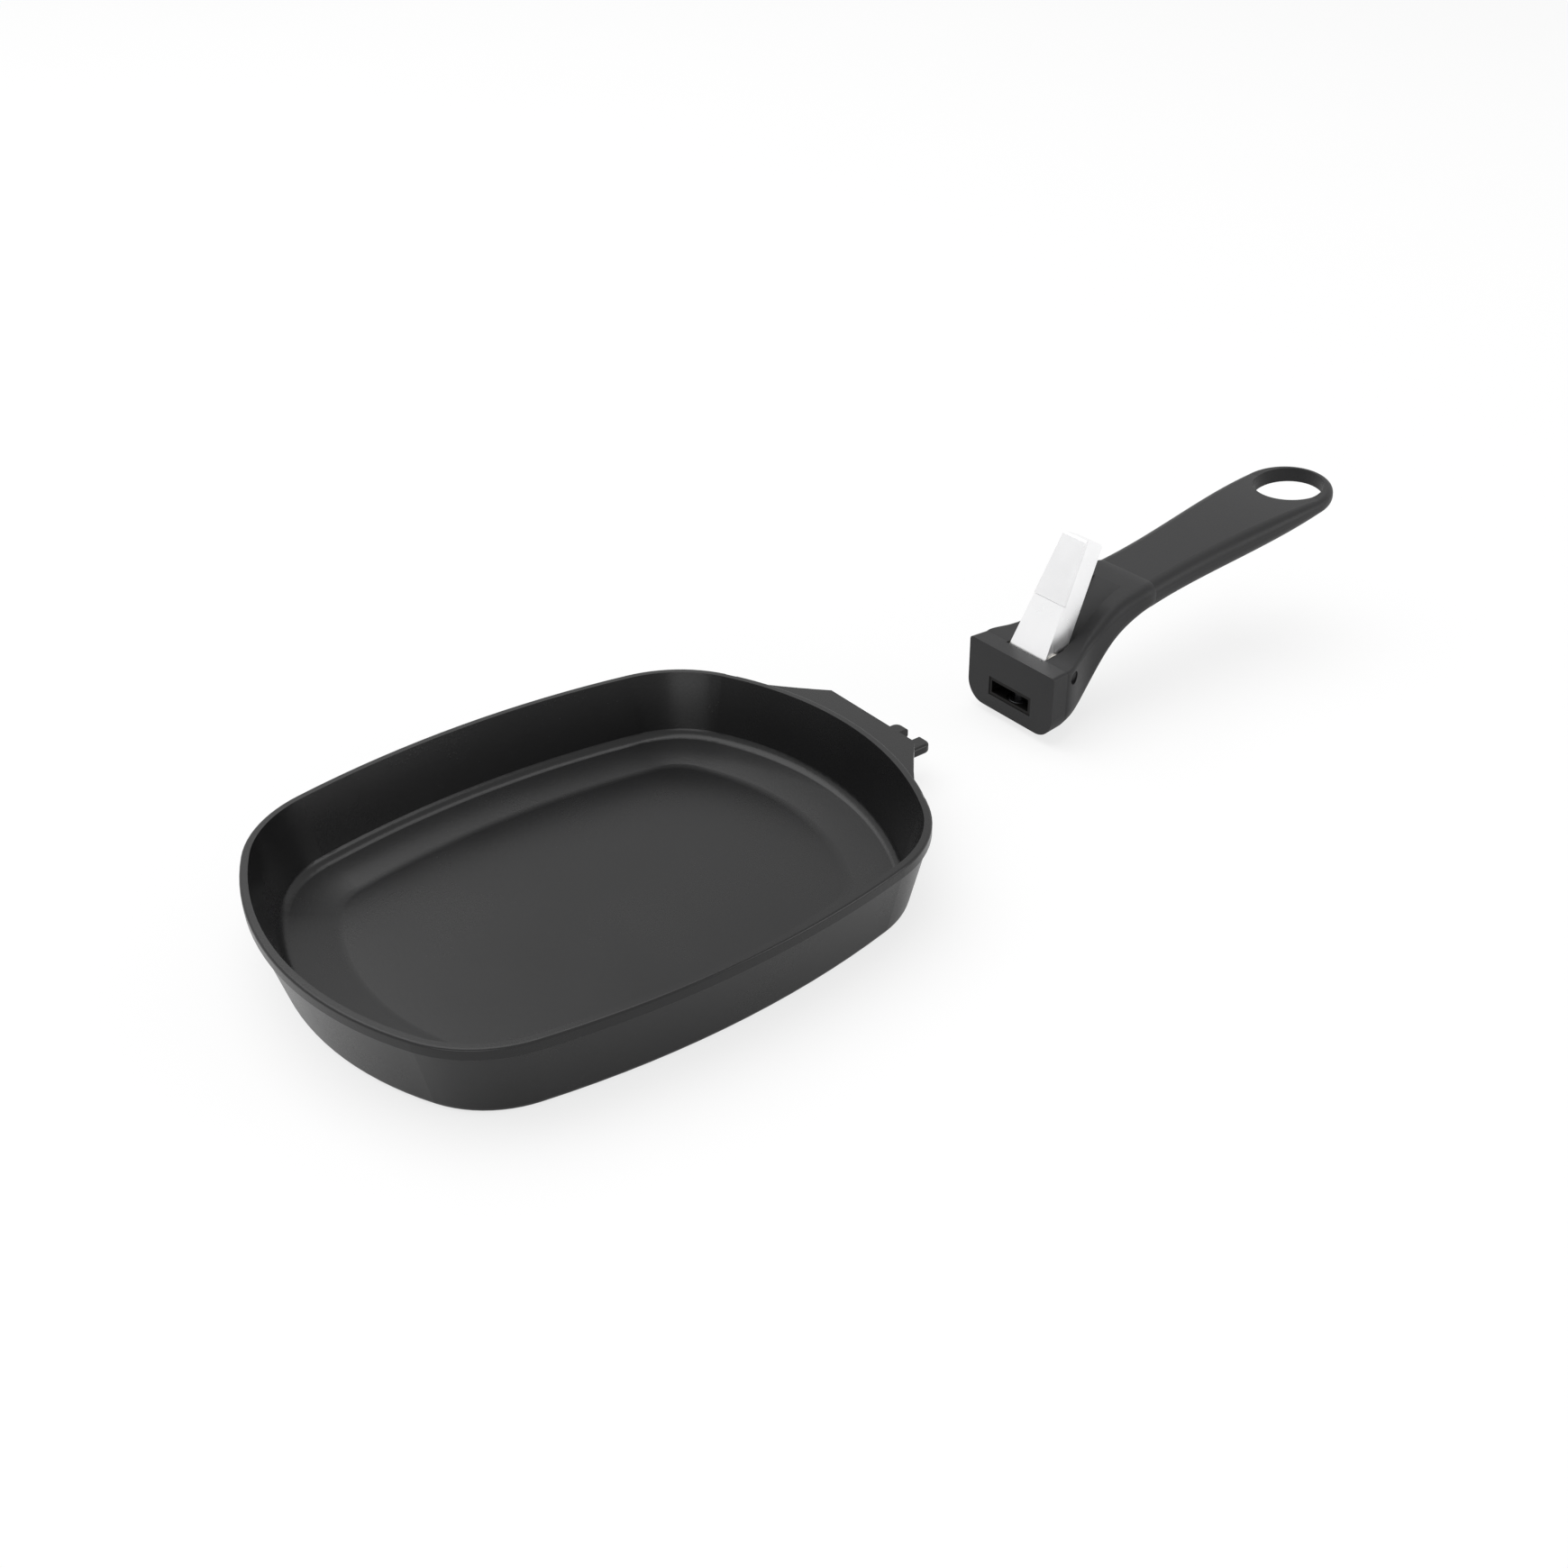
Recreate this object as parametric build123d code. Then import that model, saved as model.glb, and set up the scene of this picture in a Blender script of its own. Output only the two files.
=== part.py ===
from build123d import *
import os
from math import atan2, cos, hypot, pi, radians, sin, sqrt, tan

# Frying pan with a slide-off handle, in millimetres.
# +X runs from the pan to the handle, +Z up, origin on the pan's base at its centre.
# The handle is drawn pulled straight off the pan along +X, with its lever up.

os.makedirs("parts", exist_ok=True)

# Pan outline at the rim: three tangent arcs in each quarter
RIM_HALF_LENGTH = 130.0
RIM_HALF_WIDTH = 101.8
SIDE_ARC_R = 378.6
END_ARC_R = 141.9
CORNER_ARC_R = 51.5

# Pan casting
PAN_HEIGHT = 35.4
PAN_DRAFT = 8.3
BASE_ROUND = 3.6
BEAD_HEIGHT = 5.0
BEAD_PROUD = 0.8
BEAD_TOP_R = 1.0
RIM_WIDTH = 3.2
FLOOR_THICKNESS = 4.4
WALL_FOOT_Z = 7.8
WALL_FOOT_INSET = 11.0
WALL_FOOT_R = 4.5
FLOOR_EDGE_INSET = 32.0
FLOOR_EDGE_R = 20.0

# Lug that carries the fork
LUG_END_X = 140.3
LUG_HALF_WIDTH = 27.4
LUG_ROOT_X = 118.0
LUG_ROOT_HALF = 53.4
LUG_MID_X = 127.5
LUG_MID_HALF = 41.5
LUG_BOTTOM = 5.0
LUG_BELOW_RIM = 0.7
LUG_BOTTOM_R = 2.0
LUG_SUNK = 20.0

# Fork that plugs into the handle
FORK_TIP_X = 164.6
FORK_HALF_WIDTH = 11.4
FORK_THICKNESS = 4.6
FORK_Z = 15.0
FORK_GAP = 8.5
FORK_GAP_END_X = 143.0
FORK_TIP_R = 3.4
FORK_TIP_ROUND = 1.4

# Where the handle stands when it is pulled off
HANDLE_PULLED = 80.8
FACE_X = LUG_END_X + HANDLE_PULLED

# Handle's square end, with distances behind its front face
BLOCK_HALF_WIDTH = LUG_HALF_WIDTH - 0.4
BLOCK_TOP = 35.0
BLOCK_BOTTOM = 3.6
BLOCK_LOW_R = 10.0
BLOCK_EDGE_R = 1.6
BLOCK_DEPTH = 9.0
BLOCK_FLOOR = 3.0
BLOCK_ROOF = 1.5

# Neck and grip: distance behind the front face, low edge, top edge, half width
NECK_A = (18.9, 4.8, 36.2, 23.4)
NECK_B = (27.9, 8.0, 39.3, 19.8)
NECK_C = (35.9, 17.5, 44.6, 18.9)
NECK_D = (44.9, 29.0, 50.2, 18.9)
NECK_E = (55.9, 37.5, 54.0, 18.9)
GRIP_START = 70.9
GRIP_WIDEN = 118.9
GRIP_FLARE = 148.9
RING_FROM_FACE = 179.4
GRIP_HALF_WIDTH = 18.8
GRIP_HALF_THICK = 6.6
GRIP_START_Z = 49.3
GRIP_PITCH = 7.75
WIDEN_HALF_WIDTH = 19.9
FLARE_HALF_WIDTH = 22.1
RING_R = 23.0
RING_THICK = 7.3
HANG_HOLE_R = 16.8
HANG_HOLE_SHIFT = 3.0

# Steel socket inside the handle
SOCKET_CLEAR = 0.35
SOCKET_LIFT = 0.7
SOCKET_WALL = 1.6
SOCKET_SETBACK = 0.3
SEAT_GAP = 0.04
TIP_CLEAR = 0.5
EAR_R = 4.0

# Lever and its cross pin
PIN_X = FACE_X + 14.4
PIN_Z = 30.4
PIN_R = 2.5
PIN_HALF_LENGTH = 21.8
CAP_R = 3.0
CAP_GAP = 0.2
CAP_LENGTH = 1.6
RUN_CLEAR = 0.06
LEVER_LEAN = 27.0
LEVER_SWING = 27.0
LEVER_LENGTH = 57.1
LEVER_HALF_DEPTH = 5.9
LEVER_BASE_HALF = 11.4
LEVER_TIP_HALF = 6.9
LEVER_WALL = 2.0
LEVER_CLEAR = 0.5
LEVER_TOP_R = 1.6
WELL_HALF = LEVER_BASE_HALF + LEVER_CLEAR
HUB_HALF = LEVER_BASE_HALF - 0.5
WASHER_R = 5.4
PAD_START = 26.5
PAD_THICK = 1.4
PAD_PROUD = 0.35
PAD_RIVET_R = 1.2
PAD_RIVET_DEPTH = 0.9
PAD_RIVET_INSET = 7.5

# Draw bolt worked by the lever's foot
BOLT_FORWARD = 7.4
BOLT_R = 2.5
BOLT_HEAD_R = 5.4
BOLT_HEAD_H = 3.2
BOLT_HEAD_GAP = 1.1
HEAD_CLEAR = 0.6
POCKET_DEPTH = 3.1
POCKET_CLEAR = 0.5
BUSH_R = 4.0
BUSH_FLANGE = 0.6
LINK_R = 1.25
LINK_PLAY = 0.25
ARM_DROP = 30.0
ARM_INNER = 2.75
ARM_WALL = 2.0
ARM_ROOT_R = 4.0
ARM_END_R = 2.8
EYE_R = 2.6
EYE_PLAY = 0.35

BOLT_X = PIN_X - BOLT_FORWARD
LINK_Z = PIN_Z - BOLT_FORWARD * tan(radians(ARM_DROP))
FORK_BOTTOM = FORK_Z - FORK_THICKNESS / 2
FORK_TOP = FORK_Z + FORK_THICKNESS / 2
CAVITY_BOTTOM = FORK_BOTTOM - SOCKET_LIFT
CAVITY_TOP = FORK_TOP + SOCKET_LIFT
CAVITY_HALF = FORK_HALF_WIDTH + SOCKET_CLEAR
CAVITY_END = FORK_TIP_X + HANDLE_PULLED + TIP_CLEAR
SOCKET_OUT_HALF = CAVITY_HALF + SOCKET_WALL
SOCKET_TOP = CAVITY_TOP + SOCKET_WALL
SOCKET_FLOOR = CAVITY_BOTTOM - SOCKET_WALL


def outline_point(centre, radius, angle, height):
    return (centre[0] + radius * cos(angle), centre[1] + radius * sin(angle), height)


def pan_wire(inset, height):
    """Closed loop of eight tangent arcs: the rim outline drawn in by inset."""
    side = (0.0, RIM_HALF_WIDTH - SIDE_ARC_R)
    end = (RIM_HALF_LENGTH - END_ARC_R, 0.0)
    to_side = SIDE_ARC_R - CORNER_ARC_R
    to_end = END_ARC_R - CORNER_ARC_R
    span = hypot(end[0] - side[0], end[1] - side[1])
    along = (to_side**2 - to_end**2 + span**2) / (2 * span)
    across = sqrt(to_side**2 - along**2)
    ux = (end[0] - side[0]) / span
    uy = (end[1] - side[1]) / span
    corner = (side[0] + ux * along - uy * across, side[1] + uy * along + ux * across)
    if corner[0] + corner[1] < 0:
        corner = (side[0] + ux * along + uy * across, side[1] + uy * along - ux * across)
    turn_side = atan2(corner[1] - side[1], corner[0] - side[0])
    turn_end = atan2(corner[1] - end[1], corner[0] - end[0])
    side_mid = outline_point(side, SIDE_ARC_R - inset, pi / 2, height)
    join_side = outline_point(corner, CORNER_ARC_R - inset, turn_side, height)
    corner_mid = outline_point(corner, CORNER_ARC_R - inset, (turn_side + turn_end) / 2, height)
    join_end = outline_point(corner, CORNER_ARC_R - inset, turn_end, height)
    end_mid = outline_point(end, END_ARC_R - inset, 0.0, height)

    def flip(point, sx, sy):
        return (point[0] * sx, point[1] * sy, point[2])

    arcs = [
        (flip(join_side, -1, 1), side_mid, join_side),
        (join_side, corner_mid, join_end),
        (join_end, end_mid, flip(join_end, 1, -1)),
        (flip(join_end, 1, -1), flip(corner_mid, 1, -1), flip(join_side, 1, -1)),
        (flip(join_side, 1, -1), flip(side_mid, 1, -1), flip(join_side, -1, -1)),
        (flip(join_side, -1, -1), flip(corner_mid, -1, -1), flip(join_end, -1, -1)),
        (flip(join_end, -1, -1), flip(end_mid, -1, 1), flip(join_end, -1, 1)),
        (flip(join_end, -1, 1), flip(corner_mid, -1, 1), flip(join_side, -1, 1)),
    ]
    return Wire([Edge.make_three_point_arc(*arc) for arc in arcs])


def box_between(x0, x1, y0, y1, z0, z1):
    solid = Box(x1 - x0, y1 - y0, z1 - z0, align=(Align.MIN, Align.MIN, Align.MIN))
    return Pos(x0, y0, z0) * solid


def rod_y(x, z, radius, y0, y1):
    """Round bar along Y from y0 to y1."""
    bar = Cylinder(radius, y1 - y0, align=(Align.CENTER, Align.CENTER, Align.MIN))
    return Pos(x, y1, z) * Rot(90, 0, 0) * bar


def rod_z(x, y, radius, z0, z1):
    bar = Cylinder(radius, z1 - z0, align=(Align.CENTER, Align.CENTER, Align.MIN))
    return Pos(x, y, z0) * bar


def rod_x(z, radius, x0, x1):
    """Round bar along X at height z, from x0 to x1."""
    bar = Cylinder(radius, x1 - x0, align=(Align.CENTER, Align.CENTER, Align.MIN))
    return Pos(x0, 0, z) * Rot(0, 90, 0) * bar


def plate_y(points, y0, y1):
    """Flat plate with an outline of (x, z) points, from y0 to y1."""
    face = Face(Wire.make_polygon([(x, y0, z) for x, z in points]))
    return Solid.extrude(face, Vector(0, y1 - y0, 0))


def make_lug():
    """Block that grows out of the pan's end, with hollow curved flanks."""
    top = PAN_HEIGHT - LUG_BELOW_RIM
    inner = LUG_ROOT_X - LUG_SUNK
    root = (LUG_ROOT_X, LUG_ROOT_HALF)
    mid = (LUG_MID_X, LUG_MID_HALF)
    end = (LUG_END_X, LUG_HALF_WIDTH)

    def low(point, side=1):
        return (point[0], side * point[1], LUG_BOTTOM)

    edges = [
        Edge.make_line(low((inner, LUG_ROOT_HALF), -1), low(root, -1)),
        Edge.make_three_point_arc(low(root, -1), low(mid, -1), low(end, -1)),
        Edge.make_line(low(end, -1), low(end)),
        Edge.make_three_point_arc(low(end), low(mid), low(root)),
        Edge.make_line(low(root), low((inner, LUG_ROOT_HALF))),
        Edge.make_line(low((inner, LUG_ROOT_HALF)), low((inner, LUG_ROOT_HALF), -1)),
    ]
    lug = Part() + Solid.extrude(Face(Wire(edges)), Vector(0, 0, top - LUG_BOTTOM))
    end_edges = lug.edges().filter_by(Axis.Y).group_by(Axis.X)[-1]
    return fillet(end_edges.group_by(Axis.Z)[0], LUG_BOTTOM_R)


def make_fork():
    """Two flat prongs, with a round pocket below for the draw bolt's head."""
    fork = box_between(
        LUG_END_X - 3.0, FORK_TIP_X, -FORK_HALF_WIDTH, FORK_HALF_WIDTH, FORK_BOTTOM, FORK_TOP
    )
    corners = fork.edges().filter_by(Axis.Z).group_by(Axis.X)[-1]
    fork = fillet(corners, FORK_TIP_R)
    gap_x = FORK_GAP_END_X + FORK_GAP / 2
    gap = box_between(gap_x, FORK_TIP_X + 1, -FORK_GAP / 2, FORK_GAP / 2, FORK_BOTTOM - 1, FORK_TOP + 1)
    gap += rod_z(gap_x, 0, FORK_GAP / 2, FORK_BOTTOM - 1, FORK_TOP + 1)
    fork -= gap
    pocket_r = BOLT_HEAD_R + POCKET_CLEAR
    fork -= rod_z(BOLT_X - HANDLE_PULLED, 0, pocket_r, FORK_BOTTOM - 1, FORK_BOTTOM + POCKET_DEPTH)
    tips = fork.edges().filter_by(Axis.Y).group_by(Axis.X)[-1]
    return fillet(tips, FORK_TIP_ROUND)


def make_pan():
    wall_top = PAN_HEIGHT - BEAD_HEIGHT
    outer = Part() + Solid.make_loft(
        [pan_wire(PAN_DRAFT, 0.0), pan_wire(BEAD_PROUD, wall_top + 1.0)], True
    )
    outer = fillet(outer.edges().group_by(Axis.Z)[0], BASE_ROUND)
    outer += make_lug()
    bead = Part() + Solid.extrude(Face(pan_wire(0.0, wall_top)), Vector(0, 0, BEAD_HEIGHT))
    bead = fillet(bead.edges().group_by(Axis.Z)[-1], BEAD_TOP_R)
    bead = chamfer(bead.edges().group_by(Axis.Z)[0], BEAD_PROUD * 0.7)
    outer += bead
    return outer - make_hollow() + make_fork()


def make_hollow():
    """Inside of the pan: steep wall, tight turn, shallow dish and flat floor."""
    slope = (WALL_FOOT_INSET - RIM_WIDTH) / (PAN_HEIGHT - WALL_FOOT_Z)
    above = 3.0
    wall = Solid.make_loft(
        [
            pan_wire(WALL_FOOT_INSET, WALL_FOOT_Z),
            pan_wire(RIM_WIDTH - slope * above, PAN_HEIGHT + above),
        ],
        True,
    )
    dish = Solid.make_loft(
        [pan_wire(FLOOR_EDGE_INSET, FLOOR_THICKNESS), pan_wire(WALL_FOOT_INSET, WALL_FOOT_Z)], True
    )
    hollow = Part() + wall + dish
    foot = [e for e in hollow.edges() if abs(e.center().Z - WALL_FOOT_Z) < 0.01]
    hollow = fillet(foot, WALL_FOOT_R)
    return fillet(hollow.edges().group_by(Axis.Z)[0], FLOOR_EDGE_R)


def section(x, low, high, half, low_r, high_r):
    """Rounded handle section in the plane at x, flat at the top and fuller below."""
    c = cos(pi / 4)
    y = half
    a = low_r
    b = high_r
    points = [
        ((-y + a, low), (y - a, low)),
        ((y - a, low), (y - a + a * c, low + a - a * c), (y, low + a)),
        ((y, low + a), (y, high - b)),
        ((y, high - b), (y - b + b * c, high - b + b * c), (y - b, high)),
        ((y - b, high), (-y + b, high)),
        ((-y + b, high), (-y + b - b * c, high - b + b * c), (-y, high - b)),
        ((-y, high - b), (-y, low + a)),
        ((-y, low + a), (-y + a - a * c, low + a - a * c), (-y + a, low)),
    ]
    edges = []
    for group in points:
        spots = [(x, p[0], p[1]) for p in group]
        edges.append(Edge.make_line(*spots) if len(spots) == 2 else Edge.make_three_point_arc(*spots))
    return Wire(edges)


def grip_centre(x):
    return GRIP_START_Z + (x - FACE_X - GRIP_START) * tan(radians(GRIP_PITCH))


def grip_section(behind, half, half_thick):
    x = FACE_X + behind
    middle = grip_centre(x)
    return section(x, middle - half_thick, middle + half_thick, half, half_thick * 0.9, half_thick * 0.8)


def neck_section(station, low_r, high_r):
    behind, low, high, half = station
    return section(FACE_X + behind, low, high, half, low_r, high_r)


def make_shell():
    """Moulded handle: square block, raked neck, flaring grip and hanging ring."""
    front = section(FACE_X, BLOCK_BOTTOM, BLOCK_TOP, BLOCK_HALF_WIDTH, BLOCK_LOW_R, BLOCK_EDGE_R)
    back_half = BLOCK_HALF_WIDTH - 0.7
    back = (BLOCK_DEPTH, BLOCK_BOTTOM + 0.2, BLOCK_TOP, back_half)
    block = Solid.make_loft([front, neck_section(back, BLOCK_LOW_R + 0.4, BLOCK_EDGE_R)], True)
    start = grip_section(GRIP_START, GRIP_HALF_WIDTH, GRIP_HALF_THICK)
    neck = Solid.make_loft(
        [
            neck_section(back, BLOCK_LOW_R + 0.4, BLOCK_EDGE_R),
            neck_section(NECK_A, 10.8, 2.0),
            neck_section(NECK_B, 11.0, 3.0),
            neck_section(NECK_C, 10.4, 4.0),
            neck_section(NECK_D, 9.0, 5.0),
            neck_section(NECK_E, 7.2, 5.2),
            start,
        ],
        False,
    )
    grip = Solid.make_loft(
        [
            start,
            grip_section(GRIP_WIDEN, WIDEN_HALF_WIDTH, GRIP_HALF_THICK),
            grip_section(GRIP_FLARE, FLARE_HALF_WIDTH, GRIP_HALF_THICK * 0.9),
            grip_section(RING_FROM_FACE, RING_R, RING_THICK / 2),
        ],
        False,
    )
    ring = Cylinder(RING_R, RING_THICK)
    ring = fillet(ring.edges().group_by(Axis.Z)[-1], RING_THICK * 0.4)
    ring = fillet(ring.edges().group_by(Axis.Z)[0], RING_THICK * 0.45)
    ring_x = FACE_X + RING_FROM_FACE
    at_ring = Pos(ring_x, 0, grip_centre(ring_x)) * Rot(0, -GRIP_PITCH, 0)
    shell = Part() + block + neck + grip + at_ring * ring
    shell -= at_ring * Pos(HANG_HOLE_SHIFT, 0, 0) * Cylinder(HANG_HOLE_R, 40.0)
    return shell - make_shell_hollows()


def make_shell_hollows():
    """Room in the handle for the sleeve, the draw bolt, the lever and its pin."""
    seat = SEAT_GAP
    hollows = box_between(
        FACE_X - 1,
        CAVITY_END + SOCKET_WALL + seat,
        -SOCKET_OUT_HALF - seat,
        SOCKET_OUT_HALF + seat,
        SOCKET_FLOOR - seat,
        SOCKET_TOP + seat,
    )
    hollows += rod_z(BOLT_X, 0, BOLT_HEAD_R + HEAD_CLEAR, BLOCK_BOTTOM + BLOCK_FLOOR, SOCKET_FLOOR + 1)
    foot_half = ARM_INNER + ARM_WALL + LEVER_CLEAR
    foot_front = BOLT_X - BUSH_R - BUSH_FLANGE - seat
    roof = BLOCK_TOP - BLOCK_ROOF
    hollows += box_between(foot_front, PIN_X, -foot_half, foot_half, SOCKET_TOP - 1, roof)
    well_front = PIN_X - LEVER_HALF_DEPTH - LEVER_CLEAR
    well_back = PIN_X + LEVER_HALF_DEPTH + LEVER_CLEAR
    above = BLOCK_TOP + LEVER_LENGTH
    hollows += box_between(well_front, well_back, -WELL_HALF, WELL_HALF, SOCKET_TOP - 1, above)
    hollows += make_fold_space()
    hollows += rod_y(PIN_X, PIN_Z, PIN_R + seat / 2, -PIN_HALF_LENGTH - 1, PIN_HALF_LENGTH + 1)
    cap_start = PIN_HALF_LENGTH + CAP_GAP
    for side in (-1, 1):
        ear = WELL_HALF, SOCKET_OUT_HALF + seat
        low, high = sorted(side * y for y in ear)
        hollows += box_between(
            PIN_X - EAR_R - seat, PIN_X + EAR_R + seat, low, high, SOCKET_TOP - 1, PIN_Z
        )
        hollows += rod_y(PIN_X, PIN_Z, EAR_R + seat, low, high)
        low, high = sorted((side * cap_start, side * (BLOCK_HALF_WIDTH + 1)))
        hollows += rod_y(PIN_X, PIN_Z, CAP_R + seat, low, high)
    return hollows


def make_fold_space():
    """Room in the neck's slope for the lever when it is folded down."""
    depth = LEVER_HALF_DEPTH + LEVER_CLEAR
    length = LEVER_LENGTH + LEVER_CLEAR
    room = box_between(-20.0, depth, -WELL_HALF, WELL_HALF, 0, length + 2.0)
    room &= lever_taper(LEVER_CLEAR)
    return Pos(PIN_X, 0, PIN_Z) * Rot(0, LEVER_LEAN + LEVER_SWING, 0) * room


def lever_taper(extra):
    """Block along X with the lever's tapering front view, made larger by extra."""
    base = LEVER_BASE_HALF + extra
    tip = LEVER_TIP_HALF + extra
    top = LEVER_LENGTH + extra * 2
    outline = [(-base, -12), (base, -12), (base, 0), (tip, top), (-tip, top), (-base, 0)]
    face = Face(Wire.make_polygon([(-40, y, z) for y, z in outline]))
    return Part() + Solid.extrude(face, Vector(80, 0, 0))


def make_socket():
    """Steel sleeve for the fork, with two ears that carry the cross pin."""
    body = box_between(
        FACE_X + SOCKET_SETBACK,
        CAVITY_END + SOCKET_WALL,
        -SOCKET_OUT_HALF,
        SOCKET_OUT_HALF,
        SOCKET_FLOOR,
        SOCKET_TOP,
    )
    for side in (-1, 1):
        low, high = sorted((side * WELL_HALF, side * SOCKET_OUT_HALF))
        body += box_between(PIN_X - EAR_R, PIN_X + EAR_R, low, high, SOCKET_TOP - 0.5, PIN_Z)
        body += rod_y(PIN_X, PIN_Z, EAR_R, low, high)
    body -= box_between(FACE_X, CAVITY_END, -CAVITY_HALF, CAVITY_HALF, CAVITY_BOTTOM, CAVITY_TOP)
    body -= rod_z(BOLT_X, 0, BOLT_HEAD_R + HEAD_CLEAR, SOCKET_FLOOR - 1, CAVITY_BOTTOM + 1)
    body -= rod_z(BOLT_X, 0, BUSH_R, CAVITY_TOP - 1, SOCKET_TOP + 1)
    body -= rod_y(PIN_X, PIN_Z, PIN_R, -SOCKET_OUT_HALF - 1, SOCKET_OUT_HALF + 1)
    return body


def make_bush():
    """Flanged bush in the socket's roof that guides the draw bolt."""
    bush = rod_z(BOLT_X, 0, BUSH_R, CAVITY_TOP, SOCKET_TOP)
    bush += rod_z(BOLT_X, 0, BUSH_R + BUSH_FLANGE, SOCKET_TOP, SOCKET_TOP + BUSH_FLANGE)
    bush -= rod_z(BOLT_X, 0, BOLT_R + RUN_CLEAR, CAVITY_TOP - 1, SOCKET_TOP + BUSH_FLANGE + 1)
    return bush


def make_pin():
    pin = rod_y(PIN_X, PIN_Z, PIN_R, -PIN_HALF_LENGTH, PIN_HALF_LENGTH)
    return chamfer(pin.edges().filter_by(GeomType.CIRCLE), 0.4)


def make_pin_caps():
    """Flat caps that close the cross pin's hole in the handle's two sides."""
    start = PIN_HALF_LENGTH + CAP_GAP
    caps = Part()
    for side in (-1, 1):
        low, high = sorted((side * start, side * (start + CAP_LENGTH)))
        caps += rod_y(PIN_X, PIN_Z, CAP_R, low, high)
    return caps


def make_washers():
    washers = Part()
    for side in (-1, 1):
        low, high = sorted((side * (HUB_HALF + 2 * RUN_CLEAR), side * WELL_HALF))
        washers += rod_y(PIN_X, PIN_Z, WASHER_R, low, high)
    return washers - rod_y(PIN_X, PIN_Z, PIN_R, -WELL_HALF - 1, WELL_HALF + 1)


def lever_place():
    return Pos(PIN_X, 0, PIN_Z) * Rot(0, LEVER_LEAN, 0)


def make_lever():
    """Channel-shaped lever, drawn upright about its pin and then leaned back."""
    depth = LEVER_HALF_DEPTH
    wall = LEVER_WALL
    half = LEVER_BASE_HALF
    body = rod_y(0, 0, depth, -half, half)
    body += box_between(-depth, depth, -half, half, 0, LEVER_LENGTH)
    body &= lever_taper(0.0)
    top_edges = body.edges().filter_by(Axis.Y).group_by(Axis.Z)[-1]
    body = fillet(top_edges, LEVER_TOP_R)
    inner = box_between(-depth + wall, depth + 1, -half, half, 0, LEVER_LENGTH - wall)
    inner += box_between(-depth - 1, depth + 1, -half, half, -depth - 1, 0)
    body -= inner & lever_taper(-wall)
    body += make_foot()
    for side in (-1, 1):
        low, high = sorted((side * HUB_HALF, side * (half + 1)))
        body -= rod_y(0, 0, depth + 0.3, low, high)
    body -= rod_y(0, 0, PIN_R + RUN_CLEAR, -half - 1, half + 1)
    body -= make_pad_blank(0.0, 0.0)
    for z in pad_rivet_heights():
        body -= rod_x(z, PAD_RIVET_R, -depth - 1, depth + 1)
    return lever_place() * body


def make_foot():
    """Two arms forward of the hub, slotted at their ends for the link pin."""
    near = BOLT_FORWARD / cos(radians(ARM_DROP - LEVER_SWING))
    far = BOLT_FORWARD / cos(radians(ARM_DROP))
    reach = (near + far) / 2
    slot_half = (far - near) / 2
    wide = LINK_R + LINK_PLAY
    feet = Part()
    for side in (-1, 1):
        low, high = sorted((side * ARM_INNER, side * (ARM_INNER + ARM_WALL)))
        hub = rod_y(0, 0, ARM_ROOT_R, low, high)
        end = rod_y(-reach, 0, ARM_END_R, low, high)
        taper = [(0, ARM_ROOT_R), (-reach, ARM_END_R), (-reach, -ARM_END_R), (0, -ARM_ROOT_R)]
        feet += hub + end + plate_y(taper, low, high)
    slot_y = ARM_INNER + ARM_WALL + 1
    for x in (-reach - slot_half, -reach + slot_half):
        feet -= rod_y(x, 0, wide, -slot_y, slot_y)
    feet -= box_between(-reach - slot_half, -reach + slot_half, -slot_y, slot_y, -wide, wide)
    feet = Rot(0, -ARM_DROP - LEVER_LEAN, 0) * feet
    for side in (-1, 1):
        low, high = sorted((side * ARM_INNER, side * (ARM_INNER + ARM_WALL)))
        feet += box_between(-LEVER_HALF_DEPTH + 0.4, -LEVER_WALL, low, high, 0.0, ARM_ROOT_R + 5.0)
    return feet


def make_pad_blank(proud, gap):
    """Upright thumb pad, laid into the front of the lever."""
    front = -LEVER_HALF_DEPTH - proud
    back = -LEVER_HALF_DEPTH + PAD_THICK
    half = LEVER_BASE_HALF
    blank = box_between(front, back, -half, half, PAD_START + gap, LEVER_LENGTH + 1.0)
    return blank & lever_taper(0.0)


def pad_rivet_heights():
    return (PAD_START + PAD_RIVET_INSET, LEVER_LENGTH - PAD_RIVET_INSET)


def make_thumb_pad():
    """Pad with two blind holes in its back for the rivets."""
    pad = make_pad_blank(PAD_PROUD, 0.15)
    front_top = pad.edges().filter_by(Axis.Y).group_by(Axis.Z)[-1].group_by(Axis.X)[0]
    pad = fillet(front_top, LEVER_TOP_R - PAD_PROUD)
    back = PAD_THICK - LEVER_HALF_DEPTH
    for z in pad_rivet_heights():
        pad -= rod_x(z, PAD_RIVET_R, back - PAD_RIVET_DEPTH, back + 1)
    return lever_place() * pad


def make_pad_rivets():
    """Rivets from behind the front wall into the thumb pad."""
    rivets = Part()
    front = -LEVER_HALF_DEPTH + PAD_THICK - PAD_RIVET_DEPTH
    back = -LEVER_HALF_DEPTH + LEVER_WALL
    for z in pad_rivet_heights():
        rivets += rod_x(z, PAD_RIVET_R, front, back)
        rivets += rod_x(z, PAD_RIVET_R * 1.8, back, back + PAD_RIVET_DEPTH)
    return lever_place() * rivets


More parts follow.
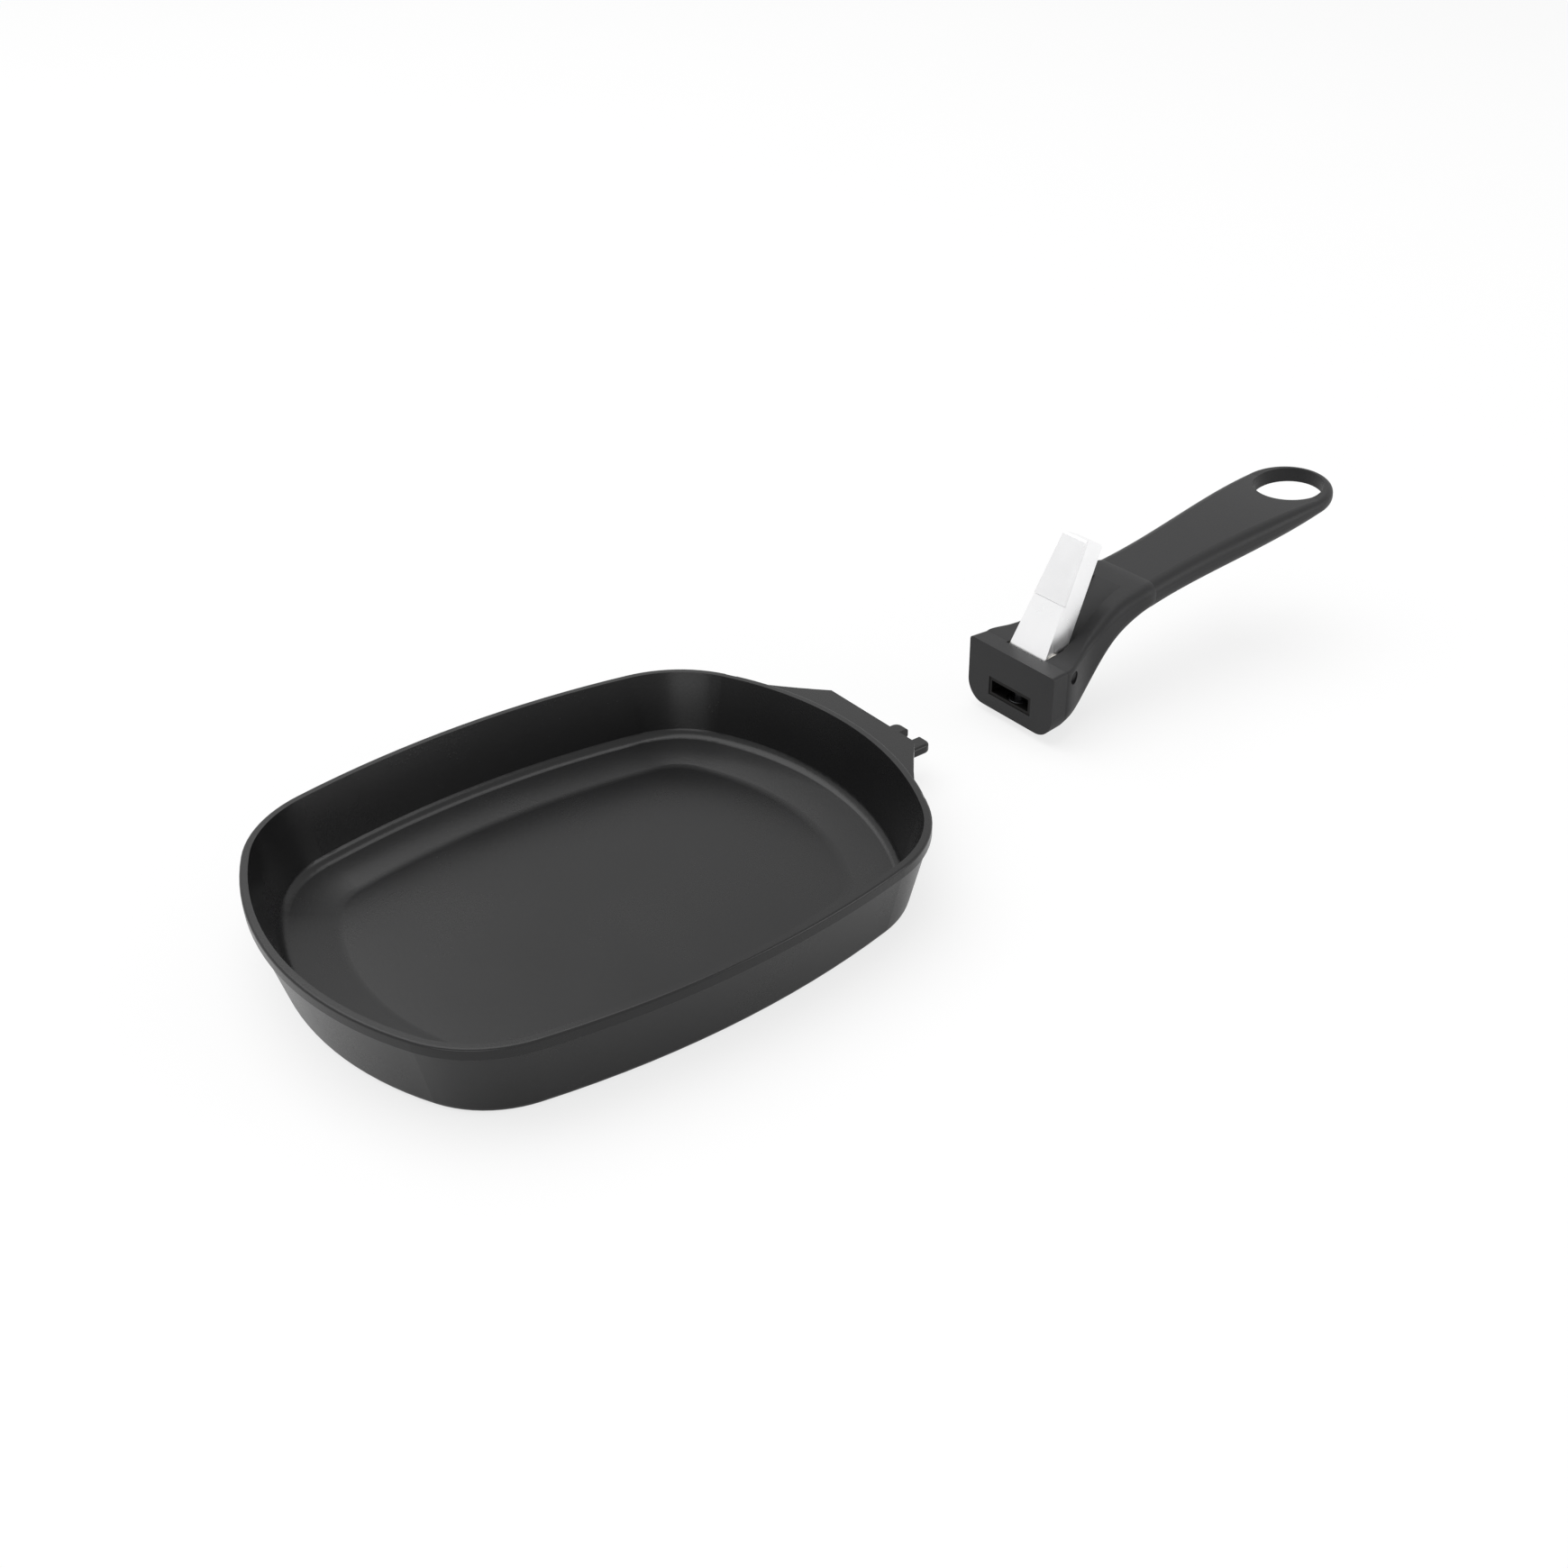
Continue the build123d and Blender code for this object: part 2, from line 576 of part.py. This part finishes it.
def make_draw_bolt():
    """Headed bolt that lifts into the fork's pocket, with a flat eye for the link pin."""
    head_top = FORK_BOTTOM - BOLT_HEAD_GAP
    bolt = rod_z(BOLT_X, 0, BOLT_HEAD_R, head_top - BOLT_HEAD_H, head_top)
    bolt = chamfer(bolt.edges().group_by(Axis.Z)[-1], 0.5)
    bolt += rod_z(BOLT_X, 0, BOLT_R, head_top - 0.5, LINK_Z)
    flat = ARM_INNER - EYE_PLAY
    bolt += rod_y(BOLT_X, LINK_Z, EYE_R, -flat, flat)
    return bolt - rod_y(BOLT_X, LINK_Z, LINK_R, -flat - 1, flat + 1)


def make_link_pin():
    half = ARM_INNER + ARM_WALL + EYE_PLAY / 2
    return rod_y(BOLT_X, LINK_Z, LINK_R, -half, half)


export_step(make_pan(), "parts/pan_body.step")
export_step(make_shell(), "parts/handle_shell.step")
export_step(make_socket(), "parts/socket_frame.step")
export_step(make_bush(), "parts/bolt_bush.step")
export_step(make_pin(), "parts/lever_pin.step")
export_step(make_pin_caps(), "parts/pin_caps.step")
export_step(make_washers(), "parts/hub_washers.step")
export_step(make_lever(), "parts/lever_frame.step")
export_step(make_thumb_pad(), "parts/thumb_pad.step")
export_step(make_pad_rivets(), "parts/pad_rivets.step")
export_step(make_draw_bolt(), "parts/draw_bolt.step")
export_step(make_link_pin(), "parts/link_pin.step")
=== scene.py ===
import bpy
import math
from mathutils import Matrix, Vector

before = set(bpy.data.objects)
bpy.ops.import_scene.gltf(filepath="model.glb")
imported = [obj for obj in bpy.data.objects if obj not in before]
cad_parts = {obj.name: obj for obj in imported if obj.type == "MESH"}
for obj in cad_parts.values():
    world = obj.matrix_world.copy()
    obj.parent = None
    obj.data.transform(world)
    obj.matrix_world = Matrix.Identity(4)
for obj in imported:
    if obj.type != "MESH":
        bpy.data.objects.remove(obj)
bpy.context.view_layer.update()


# Pan: one aluminium die casting, tray, lug and fork together, sprayed inside and out with
# a black non-stick coating that cures to a satin skin with a very fine pebble.

class Val:
    """A socket that takes part in plain arithmetic by adding Math nodes."""

    def __init__(self, mat, socket):
        self.mat = mat
        self.socket = socket

    def _join(self, operation, first, second):
        return self.mat.add("ShaderNodeMath", {"operation": operation}, {0: first, 1: second})

    def __add__(self, other):
        return self._join("ADD", self, other)

    def __mul__(self, other):
        return self._join("MULTIPLY", self, other)

    __radd__ = __add__
    __rmul__ = __mul__


class Finish:
    """A material whose nodes are added one call at a time."""

    def __init__(self, name, **shader):
        self.material = bpy.data.materials.new(name)
        self.material.use_nodes = True
        self.nodes = self.material.node_tree.nodes
        self.links = self.material.node_tree.links
        self.shader = self.nodes["Principled BSDF"]
        for key, value in shader.items():
            self.shader.inputs[key.replace("_", " ")].default_value = value

    def add(self, kind, settings=None, inputs=None, out=0):
        node = self.nodes.new(kind)
        for key, value in (settings or {}).items():
            if key == "stops":
                for element, (place, colour) in zip(node.color_ramp.elements, value):
                    element.position = place
                    element.color = (*colour, 1.0)
            else:
                setattr(node, key, value)
        for key, value in (inputs or {}).items():
            if isinstance(value, Val):
                self.links.new(value.socket, node.inputs[key])
            else:
                node.inputs[key].default_value = value
        return Val(self, node.outputs[out])

    def place(self):
        """Place on the piece, in metres."""
        return self.add("ShaderNodeTexCoord", out="Object")

    def noise(self, scale, detail, where=None):
        """Noise with about as many grains to the metre as its scale."""
        texture = {"Vector": where or self.place(), "Scale": scale, "Detail": detail}
        return self.add("ShaderNodeTexNoise", None, texture)

    def feed(self, name, value):
        self.links.new(value.socket, self.shader.inputs[name])

    def tint(self, factor, low, high):
        """Base colour between a low and a high tone."""
        stops = {"stops": [(0.0, low), (1.0, high)]}
        self.feed("Base Color", self.add("ShaderNodeValToRGB", stops, {"Fac": factor}))

    def gloss(self, value, low, high, smooth, rough):
        """Roughness from smooth to rough as the value goes from low to high."""
        span = {"From Min": low, "From Max": high, "To Min": smooth, "To Max": rough}
        self.feed("Roughness", self.add("ShaderNodeMapRange", None, {"Value": value, **span}))

    def relief(self, height, strength, distance):
        """Bump from the height, to the given distance in metres."""
        bump = {"Height": height, "Strength": strength, "Distance": distance}
        self.feed("Normal", self.add("ShaderNodeBump", None, bump))

    def onto(self, *node_names):
        for name in node_names:
            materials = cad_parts[name].data.materials
            if not materials:
                materials.append(self.material)
            for index in range(len(materials)):
                materials[index] = self.material


coating = Finish("nonstick_coating", Specular_IOR_Level=0.3)
mottle = coating.noise(scale=18.0, detail=4.0)
pebble = coating.noise(scale=900.0, detail=2.0)
finer = coating.noise(scale=2400.0, detail=1.0)
coating.tint(mottle, low=(0.0075, 0.0075, 0.0077), high=(0.0105, 0.0105, 0.0108))
coating.gloss(mottle + pebble * 0.4, low=0.3, high=1.1, smooth=0.22, rough=0.3)
coating.relief(pebble + finer * 0.5, strength=0.12, distance=0.0002)
coating.onto("pan_body")

# Handle: compression-moulded phenolic, a satin black a little lighter than the pan, with
# the faint cloud and fine grain of a blasted mould. The pin's caps are the same.
phenolic = Finish("phenolic", Specular_IOR_Level=0.2)
cloud = phenolic.noise(scale=30.0, detail=4.0)
grain = phenolic.noise(scale=1300.0, detail=2.0)
phenolic.tint(cloud, low=(0.018, 0.018, 0.0184), high=(0.025, 0.025, 0.0258))
phenolic.gloss(cloud + grain * 0.5, low=0.4, high=1.1, smooth=0.36, rough=0.5)
phenolic.relief(grain, strength=0.15, distance=0.0002)
phenolic.onto("handle_shell", "pin_caps")

# Socket: a pressed steel sleeve moulded into the handle's square end, darkened by heat,
# with a turned brass bush pressed into its roof.
socket_steel = Finish("darkened_steel", Metallic=1.0)
tarnish = socket_steel.noise(scale=120.0, detail=5.0)
socket_steel.tint(tarnish, low=(0.012, 0.012, 0.012), high=(0.03, 0.029, 0.028))
socket_steel.gloss(tarnish, low=0.2, high=0.8, smooth=0.4, rough=0.65)
socket_steel.relief(tarnish, strength=0.1, distance=0.0002)
socket_steel.onto("socket_frame")

brass = Finish("turned_brass", Metallic=1.0)
turning = brass.noise(scale=400.0, detail=3.0)
brass.tint(turning, low=(0.5, 0.37, 0.16), high=(0.62, 0.48, 0.24))
brass.gloss(turning, low=0.2, high=0.8, smooth=0.28, rough=0.45)
brass.onto("bolt_bush")

# Draw bolt: a headed steel bolt, oil blackened, that slides in the bush and hooks into
# the fork's pocket when the lever is folded back.
blackened = Finish("blackened_steel", Metallic=1.0)
oxide = blackened.noise(scale=250.0, detail=4.0)
blackened.tint(oxide, low=(0.03, 0.03, 0.032), high=(0.07, 0.07, 0.074))
blackened.gloss(oxide, low=0.2, high=0.8, smooth=0.35, rough=0.55)
blackened.relief(oxide, strength=0.08, distance=0.0001)
blackened.onto("draw_bolt")

# Lever: a channel pressed from stainless steel, with a fine upright brushing. The noise is
# stretched in z before it is turned, so the turn only picks which part of it shows.
BRUSH_STRETCH = 50.0
BRUSH_TURN = math.radians(-27.0)

lever_steel = Finish("brushed_lever", Metallic=1.0)
along = lever_steel.add(
    "ShaderNodeMapping",
    {"vector_type": "POINT"},
    {
        "Vector": lever_steel.place(),
        "Rotation": (0.0, BRUSH_TURN, 0.0),
        "Scale": (1.0, 1.0, 1.0 / BRUSH_STRETCH),
    },
)
brushing = lever_steel.noise(scale=1500.0, detail=2.0, where=along)
haze = lever_steel.noise(scale=60.0, detail=3.0)
lever_steel.tint(haze, low=(0.84, 0.84, 0.845), high=(0.89, 0.89, 0.895))
lever_steel.gloss(brushing + haze * 0.5, low=0.4, high=1.1, smooth=0.24, rough=0.42)
lever_steel.relief(brushing, strength=0.06, distance=0.0001)
lever_steel.onto("lever_frame")

# Pins, rivets and washers: ground steel for the cross pin, the link pin and the rivets
# behind the thumb plate, and natural nylon for the washers beside the lever's hub.
pin_steel = Finish("ground_steel", Metallic=1.0)
wear = pin_steel.noise(scale=300.0, detail=3.0)
pin_steel.tint(wear, low=(0.55, 0.55, 0.56), high=(0.68, 0.68, 0.69))
pin_steel.gloss(wear, low=0.2, high=0.8, smooth=0.18, rough=0.35)
pin_steel.onto("lever_pin", "link_pin", "pad_rivets")

nylon = Finish("natural_nylon")
milk = nylon.noise(scale=200.0, detail=2.0)
nylon.tint(milk, low=(0.62, 0.6, 0.55), high=(0.7, 0.68, 0.63))
nylon.gloss(milk, low=0.2, high=0.8, smooth=0.35, rough=0.5)
nylon.onto("hub_washers")

# Thumb plate: a light metal plate laid into the lever's front and riveted from behind,
# bead blasted. Its colour is set greyer than the lever's as painted shade of the plate's
# tilted face.
blasted_and_shaded = Finish("blasted_plate_painted_shade", Metallic=1.0)
bead = blasted_and_shaded.noise(scale=1800.0, detail=2.0)
patch = blasted_and_shaded.noise(scale=80.0, detail=3.0)
# Painted shade: the plate's tone is set below the lever's, so its tilted face reads greyer.
blasted_and_shaded.tint(patch, low=(0.73, 0.73, 0.735), high=(0.78, 0.78, 0.785))
blasted_and_shaded.gloss(bead + patch * 0.5, low=0.4, high=1.1, smooth=0.42, rough=0.6)
blasted_and_shaded.relief(bead, strength=0.2, distance=0.0001)
blasted_and_shaded.onto("thumb_pad")

# Floor: white paper that keeps the pan's shadow. A white veil is mixed over it for the
# camera, and a thin one for mirrored and transmitted rays, so that it reads white without
# more light on the pan.
FLOOR_HALF = 6.0
FLOOR_BELOW = 0.0002
CAMERA_VEIL = 0.75
MIRROR_VEIL = 0.25

floor_mesh = bpy.data.meshes.new("floor")
half = FLOOR_HALF
corners = [(-half, -half, 0), (half, -half, 0), (half, half, 0), (-half, half, 0)]
floor_mesh.from_pydata(corners, [], [(0, 1, 2, 3)])
floor = bpy.data.objects.new("floor", floor_mesh)
bpy.context.collection.objects.link(floor)
floor.location.z = -FLOOR_BELOW
paper = Finish("white_paper", Roughness=0.9)
tooth = paper.noise(scale=4.0, detail=2.0)
paper.tint(tooth, low=(0.93, 0.93, 0.93), high=(0.96, 0.96, 0.96))
seen = paper.add("ShaderNodeLightPath", out="Is Camera Ray")
mirrored = paper.add("ShaderNodeLightPath", out="Is Glossy Ray")
through = paper.add("ShaderNodeLightPath", out="Is Transmission Ray")
white = paper.add("ShaderNodeEmission")
lit = Val(paper, paper.shader.outputs["BSDF"])
veil = seen * CAMERA_VEIL + (mirrored + through) * MIRROR_VEIL
veiled = paper.add("ShaderNodeMixShader", None, {0: veil, 1: lit, 2: white})
paper.links.new(veiled.socket, paper.nodes["Material Output"].inputs["Surface"])
floor_mesh.materials.append(paper.material)

# Studio light: a dim white sky that shows full white to the camera and in reflections, a
# large panel overhead and two small low ones to the right and left of the camera.
SKY_LIGHT = 0.45
SKY_SEEN = 1.0
LIT_POINT = Vector((0.08, 0.0, 0.0))

world = bpy.data.worlds.new("studio")
bpy.context.scene.world = world
world.use_nodes = True
sky = world.node_tree.nodes["Background"]
sky.inputs["Color"].default_value = (1, 1, 1, 1)
path = world.node_tree.nodes.new("ShaderNodeLightPath")
strength = world.node_tree.nodes.new("ShaderNodeMapRange")
strength.inputs["To Min"].default_value = SKY_LIGHT
strength.inputs["To Max"].default_value = SKY_SEEN
either = path.outputs["Is Camera Ray"]
for ray in ("Is Glossy Ray", "Is Transmission Ray"):
    larger = world.node_tree.nodes.new("ShaderNodeMath")
    larger.operation = "MAXIMUM"
    world.node_tree.links.new(either, larger.inputs[0])
    world.node_tree.links.new(path.outputs[ray], larger.inputs[1])
    either = larger.outputs[0]
world.node_tree.links.new(either, strength.inputs["Value"])
world.node_tree.links.new(strength.outputs[0], sky.inputs["Strength"])


def panel(name, place, size, power):
    """Rectangular lamp turned toward the lit point, with its power in watts."""
    data = bpy.data.lights.new(name, "AREA")
    data.shape = "RECTANGLE"
    data.size, data.size_y = size
    data.energy = power
    lamp = bpy.data.objects.new(name, data)
    bpy.context.collection.objects.link(lamp)
    lamp.location = place
    aim = LIT_POINT - Vector(place)
    lamp.rotation_mode = "QUATERNION"
    lamp.rotation_quaternion = aim.to_track_quat("-Z", "Y")


panel("key_panel", place=(-0.3, 1.0, 3.0), size=(3.6, 3.6), power=86.0)
panel("fill_panel", place=(1.3, -1.5, 0.5), size=(1.0, 1.0), power=8.0)
panel("low_panel", place=(-1.3, -1.0, 0.35), size=(1.2, 0.6), power=5.0)

# Camera: the photograph's viewpoint, high on the pan's near left, looking along to the
# handle. The angles, distance and lens come from fitting the rim's outline.
TURN = math.radians(-36.955)
RISE = math.radians(32.604)
ROLL = -0.01616
LOOK_AT = Vector((0.111055, 0.023798, 0.0))
DISTANCE = 0.78336
LENS = 41.461

toward_camera = Vector(
    (math.sin(TURN) * math.cos(RISE), -math.cos(TURN) * math.cos(RISE), math.sin(RISE))
)
right = (-toward_camera).cross(Vector((0, 0, 1))).normalized()
up = right.cross(-toward_camera)
level_right = right * math.cos(ROLL) + up * math.sin(ROLL)
level_up = up * math.cos(ROLL) - right * math.sin(ROLL)
camera_data = bpy.data.cameras.new("photo_camera")
camera_data.sensor_width = 36.0
camera_data.lens = LENS
camera_data.clip_start = 0.01
camera_data.clip_end = 50.0
camera = bpy.data.objects.new("photo_camera", camera_data)
bpy.context.collection.objects.link(camera)
camera.matrix_world = Matrix.Translation(LOOK_AT + toward_camera * DISTANCE) @ Matrix(
    (level_right, level_up, toward_camera)
).transposed().to_4x4()
bpy.context.scene.camera = camera
bpy.context.scene.view_settings.view_transform = "Standard"
